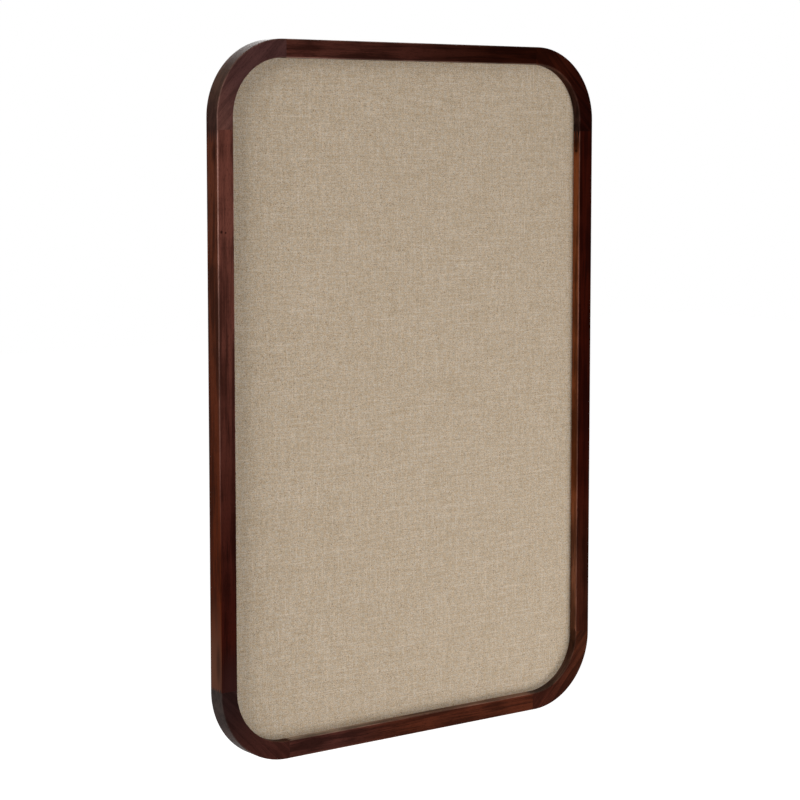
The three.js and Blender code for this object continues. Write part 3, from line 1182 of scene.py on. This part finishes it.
    def corner(self, side: Side, level: Level) -> Piece:
        """Builds one corner block, sawn from a board whose grain runs across the corner.

        Args:
            side: The side that it is on.
            level: The level that it is at.

        Returns:
            The finished piece.
        """
        s = self.sizes
        joint = self.top_joint if level is Level.TOP else self.bottom_joint
        stile_tail = joint.past - self.glue
        rail_tail = self.rail_joint.past - self.glue
        bm = bmesh.new()
        face = self.section(bm)
        bmesh.ops.translate(bm, verts=bm.verts, vec=(-s.corner_radius, 0, 0))
        last = spin(bm, face, ORIGIN, Y_AXIS, QUARTER_TURN, self.arc_steps)
        extrude(bm, last, X_AXIS * rail_tail)
        bm.faces.ensure_lookup_table()
        first = next(f for f in bm.faces if all(abs(v.co.z) < SAME for v in f.verts) and f.calc_area() > 1)
        extrude(bm, first, -Z_AXIS * stile_tail)
        self.cut_fingers(bm)
        self.shape_end(bm, -Z_AXIS, stile_tail - 10 * SAME, joint.fingers)
        self.shape_end(bm, X_AXIS, rail_tail - 10 * SAME, self.rail_joint.fingers)
        bmesh.ops.translate(bm, verts=bm.verts, vec=(-s.arc_x, 0, s.arc_z))
        bmesh.ops.scale(bm, verts=bm.verts, vec=(-side.value, 1, level.value))
        name = f"corner_{level.name.lower()}_{side.name.lower()}"
        grain = Vector((1, 0, -side.value * level.value)).normalized()
        x, y, z = self.corner_grain
        return self.dress(bm, name, grain, (x * side.value, y, z * level.value))


# Panel


@dataclass
class Panel:
    """The panel: linen stretched over a soft pin board, in front of a hardboard back."""

    sizes: BoardSizes
    nodes: dict[str, Piece]
    play: float = 1.0
    cloth: float = 0.5
    turn_in: float = 25.0
    wrap_radius: float = 0.6
    wrap_segments: int = 4
    corner_segments: int = 24
    sharp: float = 40

    def build(self) -> list[Piece]:
        """Builds the linen and dresses the two boards behind it.

        Returns:
            The sheet and the two boards.
        """
        boards = {
            "pin_board": Fibreboard("soft_fibreboard_felted"),
            "backing_board": Hardboard("hardboard_smooth_pressed"),
        }
        for name, finish in boards.items():
            self.nodes[name].material_slots[0].material = finish.material()
        return [self.linen(), *(self.nodes[name] for name in boards)]

    def linen(self) -> Piece:
        """Builds the linen, wrapped round the pin board's edges and turned in behind it.

        Returns:
            The finished sheet.
        """
        s = self.sizes
        low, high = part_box("linen_cover")
        inset = s.wall + self.play
        x, y, z = s.width / 2 - inset, s.front + s.recess, s.height / 2 - inset
        corners = [(-x, y, -z), (x, y, -z), (x, y, z), (-x, y, z)]
        bm = bmesh.new()
        front = round_outline(bm, corners, s.corner_radius - inset, self.corner_segments)
        extrude(bm, front, Y_AXIS * (high.y - low.y) / MM)
        round_rims(bm, self.wrap_radius, self.wrap_segments)
        bmesh.ops.recalc_face_normals(bm, faces=bm.faces)
        back = max((f for f in bm.faces if f.normal.y > 0.9), key=lambda f: f.calc_area())
        turned_in = self.turn_in - self.wrap_radius
        bmesh.ops.inset_region(bm, faces=[back], thickness=turned_in, use_even_offset=True)
        bmesh.ops.delete(bm, geom=[back], context="FACES")
        bmesh.ops.solidify(bm, geom=bm.faces[:], thickness=self.cloth)
        finish = NaturalLinen("natural_linen_plain_weave")
        piece = finish_piece(bm, "linen_sheet", finish, self.sharp, "linen_cover")
        return piece


class TabTurn(Enum):
    """How far a tab on each side of the board is turned about Y from one on the left."""

    LEFT = 0.0
    RIGHT = math.pi
    TOP = QUARTER_TURN
    BOTTOM = -QUARTER_TURN


@dataclass
class Tabs:
    """The bendable steel tabs, shot into the rabbet wall and lying on the hardboard."""

    nodes: dict[str, Piece]
    grip: float = 9.0
    reach: float = 13.0
    width: float = 12.0
    point: float = 6.0
    taper: float = 3.0
    thickness: float = 0.5
    corner: float = 0.8
    corner_segments: int = 3
    softening: float = 0.12
    softening_segments: int = 2
    rib_half_width: float = 0.8
    rib_flank: float = 0.8
    rib_span: Span = (3.5, 9.5)
    rib_height: float = 0.35
    lift_start: float = 10.0
    lift: float = 0.4
    sharp: float = 15

    def build(self) -> list[Piece]:
        """Builds a pressed tab for every one in the frame."""
        return [self.tab(name) for name in sorted(self.nodes) if name.startswith("tab_")]

    def tab(self, node: str) -> Piece:
        """Builds one tab.

        Args:
            node: The CAD node that it replaces.

        Returns:
            The finished tab.
        """
        low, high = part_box(node)
        turn = TabTurn[node.split("_")[1].upper()].value
        inward = Vector((math.cos(turn), 0, -math.sin(turn)))
        centre = (low + high) / 2 / MM - inward * (self.reach - self.grip) / 2
        centre.y = low.y / MM
        half, tip = self.width / 2, self.point / 2
        side = [(-self.grip, -tip), (self.taper - self.grip, -half)]
        side += [(self.reach - self.taper, -half), (self.reach, -tip)]
        outline = [(x, 0, z) for x, z in side] + [(x, 0, -z) for x, z in reversed(side)]
        bm = bmesh.new()
        extrude(bm, round_outline(bm, outline, self.corner, self.corner_segments), Y_AXIS * self.thickness)
        round_rims(bm, self.softening, self.softening_segments)
        self.press_rib(bm)
        bmesh.ops.rotate(bm, verts=bm.verts, cent=ORIGIN, matrix=Matrix.Rotation(turn, 3, "Y"))
        bmesh.ops.translate(bm, verts=bm.verts, vec=centre)
        finish = RolledSteel("bright_spring_steel_strip")
        return finish_piece(bm, f"{node}_pressed", finish, self.sharp, node)

    def press_rib(self, bm: Mesh) -> None:
        """Presses a stiffening rib into the tab and lifts its tip for a fingernail.

        Args:
            bm: The flat tab.
        """
        start, end = self.rib_span
        outer = self.rib_half_width + self.rib_flank
        for z in (-outer, -self.rib_half_width, self.rib_half_width, outer):
            cut_across(bm, Z_AXIS * z, Z_AXIS)
        for x in (start - self.rib_flank, start, end, end + self.rib_flank, self.lift_start):
            cut_across(bm, X_AXIS * x, X_AXIS)
        near = 10 * SAME
        for vert in bm.verts:
            if start - near < vert.co.x < end + near and abs(vert.co.z) < self.rib_half_width + near:
                vert.co.y += self.rib_height
            elif vert.co.x > self.lift_start:
                vert.co.y += self.lift * (vert.co.x - self.lift_start) / (self.reach - self.lift_start)


@dataclass
class Hanger:
    """One ring hanger: a strap rolled round the straight bar of a ring, and two screws."""

    side: Side
    strap_width: float = 9.0
    strap_length: float = 33.0
    strap_thickness: float = 1.0
    knuckle_radius: float = 2.25
    knuckle_wrap: float = math.radians(275)
    wire_radius: float = 1.0
    wire_sides: int = 16
    ring_half_width: float = 6.5
    ring_height: float = 11.0
    elbow_radius: float = 1.5
    screw_drops: Span = (17.0, 27.0)
    screw_radius: float = 1.5
    screw_length: float = 12.0
    screw_point: float = 3.0
    head_radius: float = 2.8
    head_height: float = 2.0
    head_foot: float = 0.1
    rim_height: float = 0.6
    recess_half_width: float = 0.45
    recess_half_length: float = 1.6
    recess_depth: float = 1.1
    softening: float = 0.18
    softening_segments: int = 3
    # An edge past this angle is one of the strap's square ones.
    square: float = math.radians(60)
    # Steps in the knuckle, in the ring's bow and in a screw's turn.
    steps: int = 32
    foot_steps: int = 12
    elbow_steps: int = 8
    dome_steps: int = 6
    strap_sharp: float = 30
    ring_sharp: float = 60
    screw_sharp: float = 35
    place: Vector = field(init=False)

    def __post_init__(self) -> None:
        """Reads the hanger's place, on the wood and level with the ring's bar, from the CAD node."""
        low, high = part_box(f"hanger_strap_{self.word}")
        self.place = Vector(((low.x + high.x) / 2, low.y, high.z)) / MM - Z_AXIS * self.knuckle_radius

    @property
    def word(self) -> str:
        """The side's name in the nodes."""
        return self.side.name.lower()

    def build(self) -> list[Piece]:
        """Builds the strap, the ring and the screws."""
        pieces = [self.strap(), self.ring()]
        return pieces + [self.screw(i, drop) for i, drop in enumerate(self.screw_drops, 1)]

    def plate(self, bm: Mesh, name: str, sharp: float, offset: Vector, body: str = "board") -> Piece:
        """Puts a piece in its place and plates it.

        Args:
            bm: The mesh, drawn about the hanger's place.
            name: The CAD node that it replaces.
            sharp: The angle in degrees past which an edge stays crisp.
            offset: Where it goes from the hanger's place.
            body: The body that it rides on.

        Returns:
            The finished piece.
        """
        bmesh.ops.translate(bm, verts=bm.verts, vec=self.place + offset)
        finish = RolledSteel("zinc_plated_steel_bright")
        return finish_piece(bm, f"{name}_plated", finish, sharp, name, body)

    def strap(self) -> Piece:
        """Bends the strap: a flat tongue with a round end, rolled over at the top.

        Returns:
            The finished strap.
        """
        half, foot = self.strap_width / 2, -self.strap_length
        outline = [(-half, 0, foot), (half, 0, foot), (half, 0, 0), (-half, 0, 0)]
        bm = bmesh.new()
        face = round_outline(bm, outline, half - 10 * SAME, self.foot_steps, (0, 1))
        extrude(bm, face, Y_AXIS * self.strap_thickness)
        bmesh.ops.recalc_face_normals(bm, faces=bm.faces)
        top = max(bm.faces, key=lambda f: f.calc_center_median().z)
        knuckle = Y_AXIS * self.knuckle_radius
        spin(bm, top, knuckle, -X_AXIS, self.knuckle_wrap, self.steps)
        bmesh.ops.delete(bm, geom=[top], context="FACES_ONLY")
        bmesh.ops.recalc_face_normals(bm, faces=bm.faces)
        corners = [e for e in bm.edges if e.calc_face_angle(0) > self.square]
        bevel(bm, corners, Rounded.EDGES, self.softening, self.softening_segments)
        return self.plate(bm, f"hanger_strap_{self.word}", self.strap_sharp, ORIGIN)

    def ring(self) -> Piece:
        """Bends the ring from round wire: a straight bar, two elbows, two legs and a half round bow.

        Returns:
            The finished ring.
        """
        bar_half = self.ring_half_width - self.elbow_radius
        leg = self.ring_height - self.ring_half_width - self.elbow_radius
        bm = bmesh.new()
        bmesh.ops.create_circle(bm, cap_ends=True, segments=self.wire_sides, radius=self.wire_radius)
        bmesh.ops.rotate(bm, verts=bm.verts, cent=ORIGIN, matrix=Matrix.Rotation(QUARTER_TURN, 3, "Y"))
        bmesh.ops.translate(bm, verts=bm.verts, vec=-X_AXIS * bar_half)
        bm.faces.ensure_lookup_table()
        face = extrude(bm, bm.faces[0], X_AXIS * 2 * bar_half)
        elbow = Vector((bar_half, 0, -self.elbow_radius))
        face = spin(bm, face, elbow, Y_AXIS, QUARTER_TURN, self.elbow_steps)
        face = extrude(bm, face, -Z_AXIS * leg)
        bow = Vector((0, 0, -self.elbow_radius - leg))
        face = spin(bm, face, bow, Y_AXIS, math.pi, self.steps)
        face = extrude(bm, face, Z_AXIS * leg)
        elbow.x = -bar_half
        spin(bm, face, elbow, Y_AXIS, QUARTER_TURN, self.elbow_steps)
        caps = [f for f in bm.faces if len(f.verts) == self.wire_sides]
        bmesh.ops.delete(bm, geom=caps, context="FACES_ONLY")
        bar = Y_AXIS * self.knuckle_radius
        return self.plate(bm, f"hanger_ring_{self.word}", self.ring_sharp, bar, f"ring_{self.word}")

    def screw(self, number: int, drop: float) -> Piece:
        """Turns one screw and presses the cross recess into its head.

        Args:
            number: The screw's number in its node's name.
            drop: How far it stands below the ring's bar.

        Returns:
            The finished screw.
        """
        tip = self.strap_thickness - self.screw_length
        dome = (self.head_radius, self.head_height - self.rim_height)
        profile = [
            (0, tip),
            (self.screw_radius, tip + self.screw_point),
            (self.screw_radius, 0),
            (self.head_radius - self.head_foot, 0),
            (self.head_radius, self.head_foot),
            *arc(dome, (0, self.rim_height), range(self.dome_steps), self.dome_steps),
            (0, self.head_height),
        ]
        bm = bmesh.new()
        lathe(bm, profile, self.steps)
        self.press_recess(bm)
        offset = Vector((0, self.strap_thickness, -drop))
        return self.plate(bm, f"hanger_screw_{self.word}_{number}", self.screw_sharp, offset)

    def press_recess(self, bm: Mesh) -> None:
        """Cuts a cross through the dome of a screw's head and pushes it down.

        Args:
            bm: The screw, with its axis on Y.
        """
        width, length = self.recess_half_width, self.recess_half_length
        for axis in (X_AXIS, Z_AXIS):
            for reach in (-length, -width, width, length):
                cut_across(bm, axis * reach, axis)

        def in_cross(face: Face) -> bool:
            """Says whether a face of the dome lies within the cross.

            Args:
                face: A face of the screw.

            Returns:
                Whether the cross takes it.
            """
            middle = face.calc_center_median()
            small, large = sorted((abs(middle.x), abs(middle.z)))
            return middle.y > self.rim_height and small < width and large < length

        cross = [f for f in bm.faces if in_cross(f)]
        edges = {e for f in cross for e in f.edges}
        verts = {v for f in cross for v in f.verts}
        grown = bmesh.ops.extrude_face_region(bm, geom=[*cross, *edges, *verts])["geom"]
        for vert in (v for v in grown if isinstance(v, bmesh.types.BMVert)):
            vert.co.y = self.head_height - self.recess_depth


@dataclass
class Bumpers:
    """The four rubber bumpers that keep the board off the wall."""

    radius: float = 5.0
    height: float = 5.0
    rim: float = 1.0
    foot_lip: float = 0.3
    dish: float = 0.25
    steps: int = 48
    rim_steps: int = 6
    sharp: float = 35

    def build(self) -> list[Piece]:
        """Builds the four bumpers."""
        places = [f"{level.name.lower()}_{side.name.lower()}" for level in Level for side in Side]
        return [self.bumper(f"bumper_{place}") for place in places]

    def bumper(self, node: str) -> Piece:
        """Moulds one bumper, with a round rim and a shallow dish in its face.

        Args:
            node: The CAD node that it replaces.

        Returns:
            The finished bumper.
        """
        low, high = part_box(node)
        centre = (low + high) / 2 / MM
        centre.y = low.y / MM
        rim_centre = (self.radius - self.rim, self.height - self.rim)
        profile = [
            (0, 0),
            (self.radius - self.foot_lip, 0),
            (self.radius, self.foot_lip),
            *arc((self.rim, self.rim), rim_centre, range(self.rim_steps + 1), self.rim_steps),
            (self.radius - 2 * self.rim, self.height - self.dish / 2),
            (0, self.height - self.dish),
        ]
        bm = bmesh.new()
        lathe(bm, profile, self.steps)
        bmesh.ops.translate(bm, verts=bm.verts, vec=centre)
        finish = MouldedRubber("moulded_rubber_dark")
        return finish_piece(bm, f"{node}_moulded", finish, self.sharp, node)


# Studio


@dataclass(frozen=True)
class Softbox:
    """A square soft lamp that faces the board: its name, place and size in metres, and power in watts."""

    name: str
    place: Point
    size: float
    power: float


class Lamp(Enum):
    """The studio's soft lamps."""

    KEY = Softbox("key_softbox", (0.6, -2.13, 0.27), 0.6, 22.5)
    LOW = Softbox("low_softbox", (0.846, -1.208, -1.032), 0.8, 13)
    SIDE = Softbox("side_softbox", (-3.631, -0.973, 1.368), 1.5, 131)
    BACK = Softbox("back_fill", (1.2, 2.6, 1.4), 2.4, 60)


@dataclass
class Studio:
    """The pale floor, the soft lamps, the white surroundings and the camera."""

    ambient: float = 0.14
    floor_drop: float = 1.5
    floor_size: float = 30.0
    floor_tone: str = "#d6d6d6"
    floor_glow: float = 0.91
    lens: float = 99.14
    sensor: float = 36.0
    shift: float = -0.06
    camera_place: Point = (-1.7395, -2.3294, 0.3280)
    camera_yaw: float = math.radians(36.688)
    camera_pitch: float = math.radians(5.422)

    def build(self) -> None:
        """Makes the studio."""
        self.make_world()
        self.make_floor()
        for lamp in Lamp:
            self.make_lamp(lamp.value)
        self.make_camera()
        bpy.context.scene.view_settings.view_transform = "Standard"

    @staticmethod
    def rays(tree: Tree, *kinds: str) -> Socket:
        """Makes a share that is 1 for some kinds of ray and 0 for the others.

        Args:
            tree: The node tree.
            kinds: The kinds, as the Light Path node names them.

        Returns:
            The share.
        """
        share: object = 0.0
        for kind in kinds:
            ray = add_node(tree, "LightPath", out=kind)
            share = add_node(tree, "Math", [share, ray], operation="MAXIMUM")
        return share

    def make_world(self) -> None:
        """Surrounds the board with white that lights it only gently."""
        world = bpy.data.worlds.new("white_surroundings")
        world.use_nodes = True
        tree = world.node_tree
        seen = self.rays(tree, "Is Camera Ray", "Is Glossy Ray", "Is Transmission Ray")
        strength = add_node(tree, "MapRange", {0: seen, 3: self.ambient, 4: 1.0})
        fill_inputs(tree.nodes["Background"], {"Color": linear("#ffffff"), "Strength": strength})
        bpy.context.scene.world = world

    def make_floor(self) -> None:
        """Lays a pale floor below the board. It shows white, and still takes a shadow."""
        material = bpy.data.materials.new("white_paper_floor")
        material.use_nodes = True
        tree = material.node_tree
        paper = add_node(tree, "BsdfDiffuse", {"Color": linear(self.floor_tone)})
        seen = self.rays(tree, "Is Camera Ray")
        strength = add_node(tree, "Math", [seen, self.floor_glow], operation="MULTIPLY")
        glow = add_node(tree, "Emission", {"Strength": strength})
        lit = add_node(tree, "AddShader", [paper, glow])
        white = add_node(tree, "Emission", {"Strength": 1.0})
        mirrored = self.rays(tree, "Is Glossy Ray", "Is Transmission Ray")
        both = add_node(tree, "MixShader", [mirrored, lit, white])
        fill_inputs(tree.nodes["Material Output"], {"Surface": both})

        bm = bmesh.new()
        bmesh.ops.create_grid(bm, x_segments=8, y_segments=8, size=self.floor_size / 2)
        bmesh.ops.translate(bm, verts=bm.verts, vec=(0, 0, -self.floor_drop))
        mesh = bpy.data.meshes.new("studio_floor")
        bm.to_mesh(mesh)
        bm.free()
        mesh.materials.append(material)
        floor = bpy.data.objects.new("studio_floor", mesh)
        bpy.context.scene.collection.objects.link(floor)

    def make_lamp(self, lamp: Softbox) -> None:
        """Adds one soft lamp.

        Args:
            lamp: Its name, place, size and power.
        """
        data = bpy.data.lights.new(lamp.name, "AREA")
        data.shape = "SQUARE"
        data.size = lamp.size
        data.energy = lamp.power
        light = bpy.data.objects.new(lamp.name, data)
        light.location = lamp.place
        light.rotation_euler = (-Vector(lamp.place)).to_track_quat("-Z", "Y").to_euler()
        light.visible_camera = False
        bpy.context.scene.collection.objects.link(light)

    def make_camera(self) -> None:
        """Sets the camera at the photograph's viewing angle."""
        data = bpy.data.cameras.new("studio_camera")
        data.lens = self.lens
        data.sensor_width = self.sensor
        data.shift_y = self.shift
        camera = bpy.data.objects.new("studio_camera", data)
        camera.location = self.camera_place
        camera.rotation_euler = (QUARTER_TURN - self.camera_pitch, 0, -self.camera_yaw)
        bpy.context.scene.collection.objects.link(camera)
        bpy.context.scene.camera = camera


def main() -> None:
    """Loads the frame, builds each part of the board in order, and builds the studio."""
    logging.basicConfig(level=logging.INFO, format="%(name)s: %(message)s")
    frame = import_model()
    sizes = BoardSizes.from_frame()
    LOG.info("board is %.1f x %.1f x %.1f mm", sizes.width, sizes.height, sizes.depth)
    nodes = frame["nodes"]
    hangers = [Hanger(side) for side in Side]
    for part in (TimberFrame(sizes), Panel(sizes, nodes), Tabs(nodes), *hangers, Bumpers()):
        for piece in part.build():
            LOG.info("%s: %d faces", piece.name, len(piece.data.polygons))
    Studio().build()


if __name__ == "__main__":
    main()
